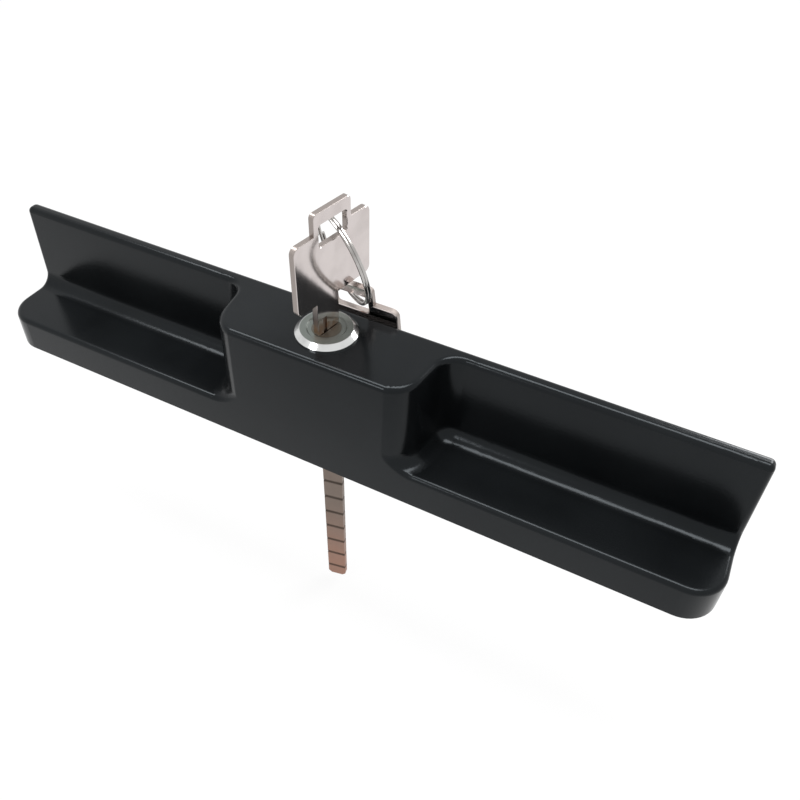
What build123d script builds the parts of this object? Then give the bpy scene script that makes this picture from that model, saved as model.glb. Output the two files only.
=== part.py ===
from build123d import *
from math import cos, radians, sin, sqrt, tan
import os

# Handle body, in millimetres
# Origin on the lock axis in the mounting plane, +X along the bar, +Z away from the door
body_length = 231.0
body_height = 39.6
body_front = 13.35
body_back = 12.2
draft_angle = 1.5
floor_height = 11.3
rail_thickness = 4.0
front_corner_radius = 9.5
back_corner_radius = 2.5
top_edge_radius = 1.6
floor_edge_radius = 1.4
foot_radius = 4.5
block_half_width = 30.6
block_side_angle = 82.0
block_inner_radius = 6.0
block_outer_radius = 9.5
block_front_lead = 0.3
edge_tolerance = 0.1

# Hollow back of the handle body
shell_wall = 2.8
floor_skin = 3.0
rib_thickness = 2.2
rib_pitch = 16.0
wing_pocket_start = 39.0
block_pocket_start = 12.2
block_pocket_end = 27.0
block_pocket_roof = 3.6
block_pocket_corner = 6.0
screw_spacing = 170.0
screw_hole_diameter = 4.2
screw_hole_depth = 8.0
screw_boss_diameter = 9.5
lock_chamber_diameter = 18.6
lock_plate_thickness = 6.0

# Lock barrel and what holds it
bezel_diameter = 17.2
bezel_height = 1.8
bezel_edge_height = 0.5
bezel_bevel_width = 1.3
bezel_dish_diameter = 11.0
bezel_dish_depth = 0.4
barrel_diameter = 11.4
barrel_flat_width = 10.0
barrel_end_height = 7.0
barrel_clearance = 0.1
locking_groove_depth = 0.7
washer_diameter = 16.4
washer_thickness = 1.0
nut_across_flats = 15.0
nut_height = 3.2
nut_chamfer = 0.4

# Plug, wafers and tail bar
plug_diameter = 8.0
plug_clearance = 0.05
plug_end_height = 1.0
keyway_clearance = 0.15
wafer_count = 8
wafer_tip_gap = 4.8
wafer_thickness = 0.9
wafer_width = 5.0
wafer_first_depth = 4.0
wafer_clearance = 0.1
clip_thickness = 0.8
clip_diameter = 10.4
clip_groove_diameter = 6.8
clip_mouth_width = 5.0
clip_clearance = 0.1
tail_width = 6.3
tail_thickness = 2.0
tail_reach = 75.5
tail_turn = 11.0
tail_slot_depth = 7.0
tail_clearance = 0.1
tail_tip_chamfer = 1.1
tail_groove_pitch = 8.0
tail_groove_first = 5.1
tail_groove_depth = 0.35
tail_groove_width = 0.9
tail_pin_diameter = 1.6
tail_pin_height = 3.4
tail_pin_inset = 0.3

# Keys and key ring
key_turn = 79.0
key_thickness = 1.8
key_edge_chamfer = 0.2
bow_width = 27.8
bow_height = 19.9
bow_offset = 3.0
bow_corner_radius = 2.0
tab_width = 13.5
tab_height = 5.8
tab_corner_radius = 1.3
slot_width = 10.2
slot_height = 6.0
slot_top_bar = 3.4
slot_corner_radius = 0.8
neck_width = 8.0
neck_height = 10.0
blade_width = 5.6
blade_length = 27.0
blade_point = 2.2
bitting_depths = (0.9, 0.5, 1.2, 0.7, 1.2, 0.4, 0.9, 0.6)
bitting_flat = 0.9
blade_groove_width = 1.4
blade_groove_depth = 0.4
key_seat_gap = 0.1
ring_radius = 13.0
ring_wire = 0.8
ring_wire_chamfer = 0.2
ring_coil_lap = 0.04
ring_turn = 248.3
ring_slot_offset = 2.7
ring_slot_drop = 0.86
ring_foot_offset = 8.5
ring_foot_drop = 6.5
spare_lean = 11.0
spare_slot_rise = 1.5

draft_slope = tan(radians(draft_angle))
top_shrink = body_height * draft_slope
key_seat = body_height + bezel_height - bezel_dish_depth
wafer_pitch = (blade_length - wafer_first_depth - wafer_tip_gap) / (wafer_count - 1)
nut_top = body_height - lock_plate_thickness - washer_thickness
slot_middle = neck_height + bow_height + tab_height - slot_top_bar - slot_height / 2

# The key's plate stands upright on the lock axis, turned from the bar
key_along = Vector(cos(radians(key_turn)), sin(radians(key_turn)), 0)
key_normal = Vector(sin(radians(key_turn)), -cos(radians(key_turn)), 0)
key_plane = Plane(origin=(0, 0, key_seat), x_dir=key_along, z_dir=key_normal)

# The ring goes through the key's slot and round the bow, under its lower edge
ring_slot_height = slot_middle - ring_slot_drop
ring_foot_height = neck_height - ring_foot_drop
ring_slot_point = key_plane.from_local_coords((bow_offset + ring_slot_offset, ring_slot_height, 0))
ring_foot_point = key_plane.from_local_coords((bow_offset + ring_foot_offset, ring_foot_height, 0))
ring_span = ring_slot_point - ring_foot_point
ring_chord = ring_span.normalized()
ring_side = key_normal.cross(ring_chord)
ring_reach = ring_side * cos(radians(ring_turn)) + key_normal * sin(radians(ring_turn))
ring_chord_distance = sqrt(ring_radius**2 - (ring_span.length / 2) ** 2)
ring_center = ring_foot_point + ring_span * 0.5 + ring_reach * ring_chord_distance
ring_axis = ring_chord.cross(ring_reach)
ring_down = (Vector(0, 0, -1) + ring_axis * ring_axis.Z).normalized()
ring_low_point = ring_center + ring_down * ring_radius

# The spare key hangs from the ring's lowest point, behind the body
spare_along = Vector(1, 0, 0)
spare_up = Vector(0, -sin(radians(spare_lean)), cos(radians(spare_lean)))
spare_hold = spare_along * bow_offset + spare_up * (slot_middle + spare_slot_rise)
spare_plane = Plane(origin=ring_low_point - spare_hold, x_dir=spare_along, z_dir=spare_along.cross(spare_up))


def body_outline():
    depth = body_front + body_back
    sheet = Pos(0, (body_back - body_front) / 2) * Rectangle(body_length, depth)
    sheet = fillet(sheet.vertices().group_by(Axis.Y)[0], front_corner_radius)
    return fillet(sheet.vertices().group_by(Axis.Y)[-1], back_corner_radius)


def recess_tool():
    # Right finger recess: wall line, S-shaped block side of two arcs, open to the front and the end
    rise = body_height - floor_height
    spread = rise * draft_slope
    wall_y = body_back - top_shrink - rail_thickness - spread
    front_y = -body_front + floor_height * draft_slope - block_front_lead
    side = radians(block_side_angle)
    middle_x = block_half_width + spread
    half_depth = (wall_y - front_y) / 2
    inner_x = middle_x + half_depth / tan(side)
    outer_x = middle_x - half_depth / tan(side)
    inner_radius = block_inner_radius - spread
    outer_radius = block_outer_radius + spread
    inner_reach = inner_radius * tan(side / 2)
    outer_reach = outer_radius * tan(side / 2)
    wall_end = (inner_x + inner_reach, wall_y)
    slope_start = (inner_x - inner_reach * cos(side), wall_y - inner_reach * sin(side))
    slope_end = (outer_x + outer_reach * cos(side), front_y + outer_reach * sin(side))
    front_end = (outer_x - outer_reach, front_y)
    far_x = body_length / 2 + body_front
    far_y = -2 * body_front
    outline = Line((far_x, wall_y), wall_end)
    outline += RadiusArc(wall_end, slope_start, -inner_radius)
    outline += Line(slope_start, slope_end)
    outline += RadiusArc(slope_end, front_end, outer_radius)
    outline += Polyline(front_end, (front_end[0], far_y), (far_x, far_y), (far_x, wall_y))
    sheet = Pos(0, 0, floor_height) * make_face(outline)
    tool = extrude(sheet, rise + top_edge_radius, taper=-draft_angle)
    low_edges = tool.edges().group_by(Axis.Z)[0]
    foot_edges = [edge for edge in low_edges if (edge @ 0.5).Y > -body_front]
    foot_edges = [edge for edge in foot_edges if (edge @ 0.5).X < body_length / 2]
    return fillet(foot_edges, foot_radius)


def is_rim_edge(edge):
    # Edges round the floor, up the ends of the wall and up the corners of the block
    middle = edge @ 0.5
    start_z, end_z = sorted(((edge @ 0).Z, (edge @ 1).Z))
    if start_z < floor_height - edge_tolerance or middle.Z > body_height - edge_tolerance:
        return False
    on_floor = end_z < floor_height + edge_tolerance
    front_y = -body_front + middle.Z * draft_slope
    end_x = body_length / 2 - middle.Z * draft_slope
    wall_y = body_back - top_shrink - rail_thickness
    at_front = middle.Y < front_y + edge_tolerance
    near_corner = abs(middle.X) > end_x - front_corner_radius and middle.Y < front_y + front_corner_radius
    at_end = abs(middle.X) > end_x - edge_tolerance and middle.Y < wall_y + edge_tolerance
    return at_front or at_end or (on_floor and near_corner)


def wing_pockets():
    # Ribbed hollows under the two wings, with a screw boss on one of the ribs
    end_x = body_length / 2 - shell_wall
    front_y = -body_front + shell_wall
    back_y = body_back - shell_wall
    width = end_x - wing_pocket_start
    sheet = Pos((end_x + wing_pocket_start) / 2, (front_y + back_y) / 2) * Rectangle(width, back_y - front_y)
    corner = sheet.vertices().sort_by(Axis.X)[-2:].sort_by(Axis.Y)[0]
    sheet = fillet(corner, front_corner_radius - shell_wall)
    screw_x = screw_spacing / 2
    rib_x = screw_x - rib_pitch * int((screw_x - wing_pocket_start) / rib_pitch)
    while rib_x < end_x:
        sheet -= Pos(rib_x, 0) * Rectangle(rib_thickness, 4 * body_front)
        rib_x += rib_pitch
    sheet -= Pos(screw_x, 0) * Circle(screw_boss_diameter / 2)
    pocket = extrude(sheet, floor_height - floor_skin)
    return pocket + mirror(pocket, Plane.YZ)


def block_pockets():
    front_y = -body_front + top_shrink + shell_wall
    back_y = body_back - top_shrink - shell_wall
    width = block_pocket_end - block_pocket_start
    middle_x = (block_pocket_end + block_pocket_start) / 2
    sheet = Pos(middle_x, (front_y + back_y) / 2) * Rectangle(width, back_y - front_y)
    corner = sheet.vertices().sort_by(Axis.X)[-2:].sort_by(Axis.Y)[0]
    sheet = fillet(corner, block_pocket_corner)
    pocket = extrude(sheet, body_height - block_pocket_roof)
    return pocket + mirror(pocket, Plane.YZ)


def barrel_section(clearance):
    round_part = Circle(barrel_diameter / 2 + clearance)
    return round_part & Rectangle(2 * barrel_diameter, barrel_flat_width + 2 * clearance)


def make_handle_body():
    body = extrude(body_outline(), body_height, taper=draft_angle)
    tool = recess_tool()
    body = body - tool - mirror(tool, Plane.YZ)
    body = fillet([edge for edge in body.edges() if is_rim_edge(edge)], floor_edge_radius)
    top_face = body.faces().sort_by(Axis.Z)[-1]
    body = fillet(top_face.outer_wire().edges(), top_edge_radius)
    body = body - wing_pockets() - block_pockets()
    body -= extrude(Circle(lock_chamber_diameter / 2), body_height - lock_plate_thickness)
    body -= extrude(barrel_section(barrel_clearance), body_height)
    for side in (-1, 1):
        body -= Pos(side * screw_spacing / 2, 0) * extrude(Circle(screw_hole_diameter / 2), screw_hole_depth)
    return body


def make_lock_barrel():
    # Bevelled bezel with a shallow dish, over a barrel with two flats
    bezel_radius = bezel_diameter / 2
    bezel_top = body_height + bezel_height
    rim = Polyline(
        (0, body_height),
        (bezel_radius, body_height),
        (bezel_radius, body_height + bezel_edge_height),
        (bezel_radius - bezel_bevel_width, bezel_top),
        (bezel_dish_diameter / 2, bezel_top),
        (bezel_dish_diameter / 2 - bezel_dish_depth, key_seat),
        (0, key_seat),
        close=True,
    )
    barrel = revolve(make_face(Plane.XZ * rim), Axis.Z)
    shank = Pos(0, 0, barrel_end_height) * extrude(barrel_section(0), body_height - barrel_end_height)
    bore = extrude(Circle(plug_diameter / 2 + plug_clearance), key_seat)
    barrel = barrel + shank - bore
    groove_width = wafer_width + 4 * wafer_clearance
    groove_length = plug_diameter + 2 * locking_groove_depth
    groove_top = key_seat - wafer_first_depth + wafer_pitch / 2
    groove = extrude(Rectangle(groove_length, groove_width), wafer_count * wafer_pitch)
    return barrel - Pos(0, 0, groove_top - wafer_count * wafer_pitch) * Rot(0, 0, key_turn) * groove


def make_nut_washer():
    ring = Circle(washer_diameter / 2) - Circle(barrel_diameter / 2 + barrel_clearance)
    return Pos(0, 0, nut_top) * extrude(ring, washer_thickness)


def make_barrel_nut():
    hexagon = RegularPolygon(nut_across_flats / 2, 6, major_radius=False)
    nut = extrude(hexagon, nut_height)
    corner_radius = nut_across_flats / sqrt(3)
    chamfered = extrude(Circle(corner_radius), nut_height)
    chamfered = chamfer(chamfered.edges().filter_by(GeomType.CIRCLE), nut_chamfer)
    bore = extrude(Circle(barrel_diameter / 2 + barrel_clearance), nut_height)
    return Pos(0, 0, nut_top - nut_height) * ((nut & chamfered) - bore)


def wafer_height(index):
    return key_seat - wafer_first_depth - index * wafer_pitch


def keyway_section(clearance):
    return Rectangle(blade_width + 2 * clearance, key_thickness + 2 * clearance)


def make_lock_plug():
    plug = Pos(0, 0, plug_end_height) * extrude(Circle(plug_diameter / 2), key_seat - plug_end_height)
    keyway_depth = blade_length + 2 * keyway_clearance
    plug -= Pos(0, 0, key_seat - keyway_depth) * Rot(0, 0, key_turn) * extrude(
        keyway_section(keyway_clearance), keyway_depth
    )
    slot_thickness = wafer_thickness + 2 * wafer_clearance
    slot = extrude(Rectangle(2 * plug_diameter, wafer_width + 2 * wafer_clearance), slot_thickness)
    for index in range(wafer_count):
        plug -= Pos(0, 0, wafer_height(index) - slot_thickness / 2) * Rot(0, 0, key_turn) * slot
    tail_slot = Rectangle(2 * plug_diameter, tail_thickness + 2 * tail_clearance)
    plug -= Pos(0, 0, plug_end_height) * Rot(0, 0, tail_turn) * extrude(tail_slot, tail_slot_depth)
    groove = Circle(plug_diameter) - Circle(clip_groove_diameter / 2)
    groove_height = clip_thickness + 2 * clip_clearance
    plug -= Pos(0, 0, barrel_end_height - groove_height) * extrude(groove, groove_height)
    return plug - tail_pin_rod(2 * plug_diameter)


def make_wafer(index):
    plate = Circle(plug_diameter / 2 - wafer_clearance) & Rectangle(plug_diameter, wafer_width)
    plate -= keyway_section(keyway_clearance)
    height = wafer_height(index) - wafer_thickness / 2
    return Pos(0, 0, height) * Rot(0, 0, key_turn) * extrude(plate, wafer_thickness)


def make_plug_clip():
    ring = Circle(clip_diameter / 2) - Circle(clip_groove_diameter / 2 + clip_clearance)
    ring -= Pos(clip_diameter / 2, 0) * Rectangle(clip_diameter, clip_mouth_width)
    height = barrel_end_height - clip_clearance - clip_thickness
    return Pos(0, 0, height) * Rot(0, 0, tail_turn + 90) * extrude(ring, clip_thickness)


def tail_pin_rod(length):
    rod = Cylinder(tail_pin_diameter / 2, length, rotation=(90, 0, 0))
    return Pos(0, 0, tail_pin_height) * Rot(0, 0, tail_turn) * rod


def make_tail_pin():
    return tail_pin_rod(plug_diameter - 2 * tail_pin_inset)


def make_tail_bar():
    # Flat bar with break-off grooves across both faces
    top = plug_end_height + tail_slot_depth - tail_clearance
    length = top + tail_reach
    bar = Pos(0, 0, -tail_reach + length / 2) * Box(tail_width, tail_thickness, length)
    tip_corners = bar.edges().filter_by(Axis.Y).group_by(Axis.Z)[0]
    bar = chamfer(tip_corners, tail_tip_chamfer)
    notch = make_face(
        Plane.YZ
        * Polyline(
            (tail_thickness / 2 - tail_groove_depth, 0),
            (tail_thickness, tail_groove_width * tail_thickness / (4 * tail_groove_depth)),
            (tail_thickness, -tail_groove_width * tail_thickness / (4 * tail_groove_depth)),
            close=True,
        )
    )
    notch = extrude(notch, tail_width, both=True)
    notch = notch + mirror(notch, Plane.XZ)
    groove_z = -tail_reach + tail_groove_first
    while groove_z < -tail_groove_first:
        bar -= Pos(0, 0, groove_z) * notch
        groove_z += tail_groove_pitch
    return Rot(0, 0, tail_turn) * bar - tail_pin_rod(2 * plug_diameter)


def make_key_blank():
    # Key in its own plane: +X across the blade, +Y towards the bow, origin at the shoulder on the lock
    bow_top = neck_height + bow_height
    tab_top = bow_top + tab_height
    bow = Pos(bow_offset, neck_height + bow_height / 2) * Rectangle(bow_width, bow_height)
    bow = fillet(bow.vertices(), bow_corner_radius)
    tab = Pos(bow_offset, tab_top - tab_height) * Rectangle(tab_width, 2 * tab_height)
    tab = fillet(tab.vertices().group_by(Axis.Y)[-1], tab_corner_radius)
    slot = Pos(bow_offset, slot_middle) * RectangleRounded(slot_width, slot_height, slot_corner_radius)
    neck_low = key_seat_gap
    neck_length = neck_height + bow_corner_radius - neck_low
    neck = Pos(0, neck_low + neck_length / 2) * Rectangle(neck_width, neck_length)
    blade = Pos(0, (neck_height - blade_length) / 2) * Rectangle(blade_width, blade_length + neck_height)
    blade = chamfer(blade.vertices().group_by(Axis.Y)[0], blade_point)
    for index in range(wafer_count):
        depth = bitting_depths[index % len(bitting_depths)]
        cut_y = -wafer_first_depth - index * wafer_pitch
        edge_x = blade_width / 2
        blade -= make_face(
            Polyline(
                (edge_x - depth, cut_y - bitting_flat / 2),
                (edge_x - depth, cut_y + bitting_flat / 2),
                (edge_x + depth, cut_y + bitting_flat / 2 + 2 * depth),
                (edge_x + depth, cut_y - bitting_flat / 2 - 2 * depth),
                close=True,
            )
        )
    head = extrude(bow + tab - slot, key_thickness / 2, both=True)
    rims = head.edges().group_by(Axis.Z)
    head = chamfer(rims[0] + rims[-1], key_edge_chamfer)
    plate = head + extrude(neck + blade, key_thickness / 2, both=True)
    groove_length = blade_length + neck_height / 2
    groove = Pos(-blade_width / 4, neck_height / 2 - groove_length / 2, key_thickness / 2) * Box(
        blade_groove_width, groove_length, 2 * blade_groove_depth
    )
    return plate - groove


def make_key():
    return key_plane.location * make_key_blank()


def make_spare_key():
    return spare_plane.location * make_key_blank()


def make_key_ring():
    # Two turns of flat wire lying on each other
    turn = Rectangle(ring_wire, ring_wire + 2 * ring_coil_lap)
    turn = chamfer(turn.vertices(), ring_wire_chamfer)
    section = Pos(ring_radius, ring_wire / 2) * turn + Pos(ring_radius, -ring_wire / 2) * turn
    ring = revolve(Plane.XZ * section, Axis.Z)
    return Plane(origin=ring_center, x_dir=ring_reach, z_dir=ring_axis).location * ring


def make_all():
    pieces = {
        "handle_body": make_handle_body(),
        "lock_barrel": make_lock_barrel(),
        "nut_washer": make_nut_washer(),
        "barrel_nut": make_barrel_nut(),
        "lock_plug": make_lock_plug(),
        "plug_clip": make_plug_clip(),
        "tail_bar": make_tail_bar(),
        "tail_pin": make_tail_pin(),
        "key": make_key(),
        "key_ring": make_key_ring(),
        "spare_key": make_spare_key(),
    }
    for index in range(wafer_count):
        pieces[f"wafer_{index + 1}"] = make_wafer(index)
    return pieces


if __name__ == "__main__":
    os.makedirs("parts", exist_ok=True)
    for name, shape in make_all().items():
        export_step(shape, f"parts/{name}.step")
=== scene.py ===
import bpy
from math import pi
from mathutils import Matrix, Vector


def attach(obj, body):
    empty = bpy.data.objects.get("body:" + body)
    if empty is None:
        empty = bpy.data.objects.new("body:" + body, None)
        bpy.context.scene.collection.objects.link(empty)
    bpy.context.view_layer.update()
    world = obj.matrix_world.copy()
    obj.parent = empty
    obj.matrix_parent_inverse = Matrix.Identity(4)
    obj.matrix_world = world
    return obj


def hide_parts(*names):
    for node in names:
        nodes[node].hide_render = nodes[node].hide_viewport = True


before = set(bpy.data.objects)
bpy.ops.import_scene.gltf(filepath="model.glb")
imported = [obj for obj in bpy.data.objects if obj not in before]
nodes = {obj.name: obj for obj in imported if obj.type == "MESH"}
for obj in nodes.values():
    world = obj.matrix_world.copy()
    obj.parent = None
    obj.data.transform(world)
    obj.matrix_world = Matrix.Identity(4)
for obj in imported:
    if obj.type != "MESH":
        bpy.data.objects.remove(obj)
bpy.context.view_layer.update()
scene = bpy.context.scene
print("frame loaded:", len(nodes), "nodes")


# shader maths: a wire holds a socket, and plain arithmetic on it adds Math nodes
class Wire:
    def __init__(self, paint, socket):
        self.paint = paint
        self.socket = socket

    def math(self, operation, *values):
        made = self.paint.node("ShaderNodeMath", {"operation": operation}, dict(enumerate(values)))
        return made.out("Value")

    def __add__(self, other):
        return self.math("ADD", self, other)

    def __radd__(self, other):
        return self.math("ADD", other, self)

    def __sub__(self, other):
        return self.math("SUBTRACT", self, other)

    def __rsub__(self, other):
        return self.math("SUBTRACT", other, self)

    def __mul__(self, other):
        return self.math("MULTIPLY", self, other)

    def __rmul__(self, other):
        return self.math("MULTIPLY", other, self)

    def __truediv__(self, other):
        return self.math("DIVIDE", self, other)

    def __rtruediv__(self, other):
        return self.math("DIVIDE", other, self)

    def __abs__(self):
        return self.math("ABSOLUTE", self)

    def ramp(self, low, high):
        settings = {"interpolation_type": "SMOOTHSTEP"}
        sockets = {"Value": self, "From Min": low, "From Max": high}
        return self.paint.node("ShaderNodeMapRange", settings, sockets).out("Result")


class Made:
    def __init__(self, paint, node):
        self.paint = paint
        self.node = node

    def out(self, name):
        return Wire(self.paint, self.node.outputs[name])


class Paint:
    def __init__(self, owner):
        owner.use_nodes = True
        self.tree = owner.node_tree
        self.tree.nodes.clear()

    def node(self, kind, settings=None, sockets=None):
        made = self.tree.nodes.new(kind)
        for name, value in (settings or {}).items():
            setattr(made, name, value)
        for name, value in (sockets or {}).items():
            if isinstance(value, Wire):
                self.tree.links.new(value.socket, made.inputs[name])
            else:
                made.inputs[name].default_value = value
        return Made(self, made)

    def place(self):
        return self.node("ShaderNodeTexCoord").out("Object")

    def height(self, where):
        return self.node("ShaderNodeSeparateXYZ", None, {"Vector": where}).out("Z")

    def vector(self, operation, result, *values):
        made = self.node("ShaderNodeVectorMath", {"operation": operation}, dict(enumerate(values)))
        return made.out(result)

    def noise(self, where, scale, detail):
        sockets = {"Vector": where, "Scale": scale, "Detail": detail}
        return self.node("ShaderNodeTexNoise", None, sockets).out("Fac")

    def cloud(self, where, scale, detail=4.0):
        return self.noise(where, scale, detail)

    # fine marks, longest along the axis with the smallest scale
    def brush(self, where, scale, detail=3.0):
        stretched = self.node("ShaderNodeMapping", None, {"Vector": where, "Scale": scale})
        return self.noise(stretched.out("Vector"), 1.0, detail)

    # sockets 6 and 7 are the Mix node's colours, output 2 its colour
    def blend(self, factor, first, second):
        sockets = {"Factor": factor, 6: first, 7: second}
        return self.node("ShaderNodeMix", {"data_type": "RGBA"}, sockets).out(2)

    def bump(self, height, strength, distance):
        sockets = {"Height": height, "Strength": strength, "Distance": distance}
        return self.node("ShaderNodeBump", None, sockets).out("Normal")

    def finish(self, sockets):
        made = self.node("ShaderNodeBsdfPrincipled", None, sockets)
        self.node("ShaderNodeOutputMaterial", None, {"Surface": made.out("BSDF")})


def rgb(red, green, blue):
    return (red, green, blue, 1.0)


def newPaint(name):
    material = bpy.data.materials.new(name)
    return material, Paint(material)


# satin black powder coat: fine orange peel, soft cloudy sheen
blackCoat = {
    "dark": rgb(0.0031, 0.0036, 0.004),
    "pale": rgb(0.0053, 0.0061, 0.0067),
    "cloudScale": 38.0,
    "cloudRange": (0.3, 0.75),
    "gloss": 0.19,
    "sheen": rgb(0.86, 0.94, 1.0),
    "rough": 0.15,
    "roughSpan": 0.07,
    "peelScale": 1500.0,
    "peelDetail": 2.0,
    "peelShare": 0.7,
    "grainScale": 5200.0,
    "grainDetail": 1.0,
    "grainShare": 0.3,
    "bump": 0.16,
    "bumpDepth": 0.0001,
}


def makeBlackCoat():
    look = blackCoat
    material, paint = newPaint("blackCoat")
    where = paint.place()
    cloud = paint.cloud(where, look["cloudScale"])
    peel = paint.noise(where, look["peelScale"], look["peelDetail"])
    grain = paint.noise(where, look["grainScale"], look["grainDetail"])
    skin = peel * look["peelShare"] + grain * look["grainShare"]
    paint.finish({
        "Base Color": paint.blend(cloud.ramp(*look["cloudRange"]), look["dark"], look["pale"]),
        "Roughness": cloud * look["roughSpan"] + look["rough"],
        "Specular IOR Level": look["gloss"],
        "Specular Tint": look["sheen"],
        "Normal": paint.bump(skin, look["bump"], look["bumpDepth"]),
    })
    return material


# metals: colour drift and fine brush marks, and a dull disc inside the bezel's bevel
metals = {
    "cloudScale": 160.0,
    "cloudRange": (0.42, 0.78),
    "bumpDepth": 0.00008,
    "finishes": {
        "bezelChrome": {
            "colour": rgb(0.66, 0.665, 0.66), "tint": rgb(0.52, 0.525, 0.52),
            "rough": 0.09, "roughSpan": 0.12,
            "brush": (900.0, 900.0, 90.0), "bump": 0.05,
            "dull": rgb(0.15, 0.165, 0.153), "dullRough": 0.22, "dullRim": (0.0071, 0.0073),
        },
        "plugSteel": {
            "colour": rgb(0.11, 0.105, 0.088), "tint": rgb(0.075, 0.07, 0.055),
            "rough": 0.3, "roughSpan": 0.18,
            "brush": (1500.0, 250.0, 400.0), "bump": 0.1,
        },
        "ringSteel": {
            "colour": rgb(0.5, 0.485, 0.47), "tint": rgb(0.3, 0.285, 0.27),
            "rough": 0.1, "roughSpan": 0.14,
            "brush": (700.0, 700.0, 700.0), "bump": 0.06,
        },
        "zincSteel": {
            "colour": rgb(0.63, 0.63, 0.6), "tint": rgb(0.52, 0.49, 0.38),
            "rough": 0.28, "roughSpan": 0.2,
            "brush": (800.0, 800.0, 300.0), "bump": 0.1,
        },
        "waferBrass": {
            "colour": rgb(0.72, 0.54, 0.25), "tint": rgb(0.56, 0.38, 0.17),
            "rough": 0.26, "roughSpan": 0.2,
            "brush": (1200.0, 300.0, 900.0), "bump": 0.08,
        },
    },
}


def makeMetal(name):
    look = metals["finishes"][name]
    material, paint = newPaint(name)
    where = paint.place()
    cloud = paint.cloud(where, metals["cloudScale"])
    brush = paint.brush(where, look["brush"])
    colour = paint.blend(cloud.ramp(*metals["cloudRange"]), look["colour"], look["tint"])
    rough = (cloud + brush) * (look["roughSpan"] / 2) + look["rough"]
    if "dull" in look:
        flat = paint.vector("MULTIPLY", "Vector", where, (1.0, 1.0, 0.0))
        radius = paint.vector("LENGTH", "Value", flat)  # from the lock axis
        inside = 1.0 - radius.ramp(*look["dullRim"])
        colour = paint.blend(inside, colour, look["dull"])
        rough = rough + inside * look["dullRough"]
    paint.finish({
        "Base Color": colour,
        "Metallic": 1.0,
        "Roughness": rough,
        "Normal": paint.bump(brush, look["bump"], metals["bumpDepth"]),
    })
    return material


# keys: satin nickel on brass, dull sheared edges darkened with painted shade, brass low on the neck
# and at the blade
keyNickel = {
    "nickel": rgb(0.63, 0.575, 0.56),
    "shade": rgb(0.54, 0.49, 0.475),
    "cloudScale": 120.0,
    "cloudRange": (0.35, 0.8),
    # painted shade on the edge faces, over their duller sheared finish
    "edge": rgb(0.27, 0.235, 0.215),
    "edgeDepth": (0.00068, 0.00086),  # from the middle of the plate's thickness
    "edgeShare": 0.85,
    "edgeRough": 0.2,
    "brass": rgb(0.45, 0.25, 0.145),
    "spotScale": 420.0,
    "spotDetail": 3.0,
    "spotRange": (0.25, 0.75),
    "rough": 0.07,
    "roughSpan": 0.1,
    "brush": (1400.0, 1400.0, 160.0),
    "bump": 0.06,
    "bumpDepth": 0.00008,
    "keys": {
        "key": {
            "centre": (0.0, 0.0, 0.0), "normal": (0.981627, -0.190809, 0.0),
            "wearHeight": (0.0425, 0.0475), "wearShare": 0.9,
        },
        "spare_key": {
            "centre": (0.0012375, 0.0119282, 0.0444501), "normal": (0.0, -0.981627, -0.190809),
            "wearHeight": (0.014, 0.02), "wearShare": 0.35,
        },
    },
}


def makeKeyNickel(node):
    look = keyNickel
    plate = look["keys"][node]
    material, paint = newPaint(node + "Nickel")
    where = paint.place()
    offset = paint.vector("SUBTRACT", "Vector", where, plate["centre"])
    depth = paint.vector("DOT_PRODUCT", "Value", offset, plate["normal"])
    # edge faces: rougher for the duller sheared finish, darker as painted shade
    edge = 1.0 - abs(depth).ramp(*look["edgeDepth"])
    cloud = paint.cloud(where, look["cloudScale"])
    brush = paint.brush(where, look["brush"])
    spots = paint.noise(where, look["spotScale"], look["spotDetail"]).ramp(*look["spotRange"])
    wear = (1.0 - paint.height(where).ramp(*plate["wearHeight"])) * spots * plate["wearShare"]
    nickel = paint.blend(cloud.ramp(*look["cloudRange"]), look["nickel"], look["shade"])
    nickel = paint.blend(edge * look["edgeShare"], nickel, look["edge"])
    rough = (cloud + brush) * (look["roughSpan"] / 2) + look["rough"]
    paint.finish({
        "Base Color": paint.blend(wear, nickel, look["brass"]),
        "Metallic": 1.0,
        "Roughness": rough + edge * look["edgeRough"],
        "Normal": paint.bump(brush, look["bump"], look["bumpDepth"]),
    })
    return material


# tail bar: copper-coloured bronze, painted darker at the top as shade under the body and lighter
# copper towards the tip as a painted reflection of the pale floor, darker in the break-off grooves
tailBronze = {
    # painted shade: the darker bronze at the top of the bar, under the body
    "paintedShadeBronze": rgb(0.19, 0.15, 0.125),
    # painted reflection of the pale floor: the lighter copper towards the tip
    "paintedReflectionCopper": rgb(0.36, 0.2, 0.145),
    "paintedReflectionHeight": (-0.074, -0.028),
    "paintedReflectionShare": 0.6,
    "paintedReflectionDrift": 0.5,
    "cloudScale": 210.0,
    # darker in the break-off grooves
    "grooveDarkening": rgb(0.05, 0.038, 0.03),
    "grooveDarkeningShare": 0.75,
    "grooveZ": -0.0704,
    "groovePitch": 0.008,
    "grooveWidth": (0.00036, 0.0009),  # from a groove's middle to full and to no darkening
    "metallic": 0.85,
    "rough": 0.32,
    "cloudRough": 0.2,
    "brushRough": 0.1,
    "grooveRough": 0.2,
    "brush": (1500.0, 1500.0, 150.0),
    "bump": 0.14,
    "bumpDepth": 0.0001,
}


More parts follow.
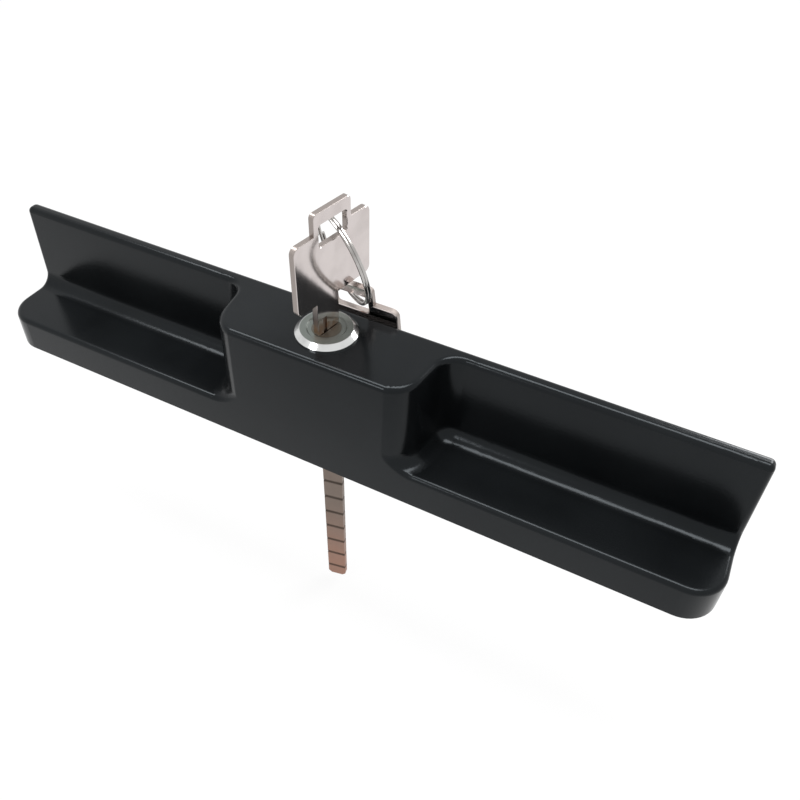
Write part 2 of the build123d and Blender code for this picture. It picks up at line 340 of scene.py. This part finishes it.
def makeTailBronze():
    look = tailBronze
    material, paint = newPaint("tailBronze")
    where = paint.place()
    height = paint.height(where)
    cloud = paint.cloud(where, look["cloudScale"])
    brush = paint.brush(where, look["brush"])
    pitch = look["groovePitch"]
    steps = (height - (look["grooveZ"] - pitch / 2)) / pitch
    away = abs(steps.math("FRACT", steps) - 0.5) * pitch  # from the nearest groove
    # darker colour in the break-off grooves
    groove = 1.0 - away.ramp(*look["grooveWidth"])
    # painted light by height: shade at the top, floor reflection towards the tip
    low = 1.0 - height.ramp(*look["paintedReflectionHeight"])
    paintedReflectionCopper = low * (cloud * look["paintedReflectionDrift"] + look["paintedReflectionShare"])
    metal = paint.blend(paintedReflectionCopper, look["paintedShadeBronze"], look["paintedReflectionCopper"])
    rough = cloud * look["cloudRough"] + brush * look["brushRough"] + look["rough"]
    paint.finish({
        "Base Color": paint.blend(groove * look["grooveDarkeningShare"], metal, look["grooveDarkening"]),
        "Metallic": look["metallic"],
        "Roughness": rough + groove * look["grooveRough"],
        "Normal": paint.bump(brush, look["bump"], look["bumpDepth"]),
    })
    return material


def coat(node, material):
    mesh = nodes[node].data
    mesh.materials.clear()
    mesh.materials.append(material)


def coatAll():
    coat("handle_body", makeBlackCoat())
    coat("lock_barrel", makeMetal("bezelChrome"))
    coat("lock_plug", makeMetal("plugSteel"))
    zinc = makeMetal("zincSteel")
    for node in ("nut_washer", "barrel_nut", "plug_clip", "tail_pin"):
        coat(node, zinc)
    brass = makeMetal("waferBrass")
    for node in nodes:
        if node.startswith("wafer_"):
            coat(node, brass)
    for node in keyNickel["keys"]:
        coat(node, makeKeyNickel(node))
    coat("tail_bar", makeTailBronze())
    print("materials on the CAD nodes")


# split ring: a flat wire wound twice, stepping sideways by its own width each turn
splitRing = {
    "centre": (-0.00026155, 0.00963944, 0.0571589),
    "axis": (-0.535632, -0.817804, -0.210461),
    "far": (-0.836, 0.548, 0.0),  # the side where the wire's ends lie
    "radius": 0.013,
    "wire": 0.0008,
    "corner": 0.00018,
    "cornerSegments": 2,
    "turns": 2,
    "stepsPerTurn": 72,
    "smoothAngle": pi / 5,
}


def makeSplitRing():
    look = splitRing
    coilWidth = look["wire"] * look["turns"]
    bpy.ops.object.select_all(action="DESELECT")
    bpy.ops.mesh.primitive_plane_add(size=look["wire"], location=(0, 0, 0))
    ring = bpy.context.object
    ring.name = "split_ring"

    # the wire's outline, upright beside the coil's axis
    bpy.ops.object.mode_set(mode="EDIT")
    bpy.ops.mesh.select_all(action="SELECT")
    bpy.ops.transform.rotate(value=pi / 2, orient_axis="X", center_override=(0, 0, 0))
    bpy.ops.transform.translate(value=(look["radius"], 0, -coilWidth / 2))
    bpy.ops.mesh.bevel(offset=look["corner"], segments=look["cornerSegments"], affect="VERTICES")
    bpy.ops.mesh.delete(type="ONLY_FACE")
    bpy.ops.object.mode_set(mode="OBJECT")

    wind = ring.modifiers.new("wind", "SCREW")
    wind.angle = 2 * pi * look["turns"]
    wind.screw_offset = coilWidth
    wind.steps = look["stepsPerTurn"] * look["turns"]
    wind.render_steps = wind.steps
    bpy.ops.object.modifier_apply(modifier="wind")

    # close the two cut ends
    bpy.ops.object.mode_set(mode="EDIT")
    bpy.ops.mesh.select_mode(type="EDGE")
    bpy.ops.mesh.select_all(action="DESELECT")
    bpy.ops.mesh.select_non_manifold(
        extend=False, use_wire=False, use_multi_face=False, use_verts=False
    )
    bpy.ops.mesh.fill_holes(sides=0)
    bpy.ops.mesh.select_all(action="SELECT")
    bpy.ops.mesh.normals_make_consistent(inside=False)
    bpy.ops.object.mode_set(mode="OBJECT")

    axis = Vector(look["axis"]).normalized()
    side = axis.cross(Vector(look["far"])).normalized()
    turn = Matrix((side.cross(axis), side, axis)).transposed().to_4x4()
    ring.matrix_world = Matrix.Translation(look["centre"]) @ turn
    bpy.ops.object.transform_apply(location=True, rotation=True, scale=True)
    bpy.ops.object.shade_smooth_by_angle(angle=look["smoothAngle"])
    ring.data.materials.append(makeMetal("ringSteel"))
    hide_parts("key_ring")
    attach(ring, "ring")
    print("split ring:", len(ring.data.polygons), "faces")


# camera at the photo's viewing angle
cameraView = {
    "place": (0.08524, -0.13499, 0.17242),
    "right": (0.8929, 0.44924, 0.03031),
    "forward": (-0.29972, 0.64324, -0.70456),
    "lens": 34.78,
    "sensor": 36.0,
    "nearest": 0.01,
}


def makeCamera():
    look = cameraView
    data = bpy.data.cameras.new("photoCamera")
    data.lens = look["lens"]
    data.sensor_width = look["sensor"]
    data.clip_start = look["nearest"]
    camera = bpy.data.objects.new("photoCamera", data)
    scene.collection.objects.link(camera)
    right = Vector(look["right"]).normalized()
    back = -Vector(look["forward"]).normalized()
    up = back.cross(right).normalized()
    turn = Matrix((right, up, back)).transposed().to_4x4()
    camera.matrix_world = Matrix.Translation(look["place"]) @ turn
    scene.camera = camera
    print("camera set")


# pale floor under the tail bar, white studio, three soft lights
studio = {
    "white": rgb(1.0, 1.0, 1.0),
    "worldFill": 0.45,  # the white world's strength as a light
    "floorZ": -0.0775,
    "floorSize": 6.0,
    "floorColour": rgb(0.86, 0.86, 0.86),
    "floorWhite": 0.93,  # share of plain white in the floor as it is seen
    "lights": {
        "topStrip": {
            "place": (-0.1, 0.05, 0.78), "target": (-0.1, 0.0, 0.0),
            "size": (1.0, 0.3), "power": 9.0,
        },
        "backSoftbox": {
            "place": (0.35, 0.7, 0.4), "target": (0.05, 0.0, 0.02),
            "size": (0.4, 0.4), "power": 6.0,
        },
        "frontSoftbox": {
            "place": (-0.27, -0.61, 0.56), "target": (0.0, 0.0, 0.03),
            "size": (0.22, 0.22), "power": 1.5,
        },
    },
}


def seenDirectly(paint):
    light = paint.node("ShaderNodeLightPath")
    mirrored = light.out("Is Glossy Ray") + light.out("Is Transmission Ray")
    seen = light.out("Is Camera Ray") + mirrored
    return seen.math("MINIMUM", seen, 1.0)


def makeWorld():
    scene.world = bpy.data.worlds.new("whiteStudio")
    paint = Paint(scene.world)
    strength = seenDirectly(paint) * (1.0 - studio["worldFill"]) + studio["worldFill"]
    sky = paint.node("ShaderNodeBackground", None, {"Color": studio["white"], "Strength": strength})
    paint.node("ShaderNodeOutputWorld", None, {"Surface": sky.out("Background")})


def makeFloor():
    bpy.ops.object.select_all(action="DESELECT")
    bpy.ops.mesh.primitive_plane_add(size=studio["floorSize"], location=(0, 0, studio["floorZ"]))
    floor = bpy.context.object
    floor.name = "paleFloor"
    material, paint = newPaint("paleFloor")
    share = seenDirectly(paint) * studio["floorWhite"]
    matt = paint.node("ShaderNodeBsdfDiffuse", None, {"Color": studio["floorColour"]}).out("BSDF")
    glow = paint.node("ShaderNodeEmission", None, {"Color": studio["white"]}).out("Emission")
    mixed = paint.node("ShaderNodeMixShader", None, {0: share, 1: matt, 2: glow})
    paint.node("ShaderNodeOutputMaterial", None, {"Surface": mixed.out("Shader")})
    floor.data.materials.append(material)


def makeLight(name, look):
    data = bpy.data.lights.new(name, "AREA")
    data.shape = "RECTANGLE"
    data.size, data.size_y = look["size"]
    data.energy = look["power"]
    lamp = bpy.data.objects.new(name, data)
    scene.collection.objects.link(lamp)
    aim = (Vector(look["target"]) - Vector(look["place"])).to_track_quat("-Z", "Y")
    lamp.matrix_world = Matrix.Translation(look["place"]) @ aim.to_matrix().to_4x4()


def makeStudio():
    makeWorld()
    makeFloor()
    for name, look in studio["lights"].items():
        makeLight(name, look)
    scene.view_settings.view_transform = "Standard"
    print("studio set:", len(studio["lights"]), "lights")


makeCamera()
makeStudio()
coatAll()
makeSplitRing()
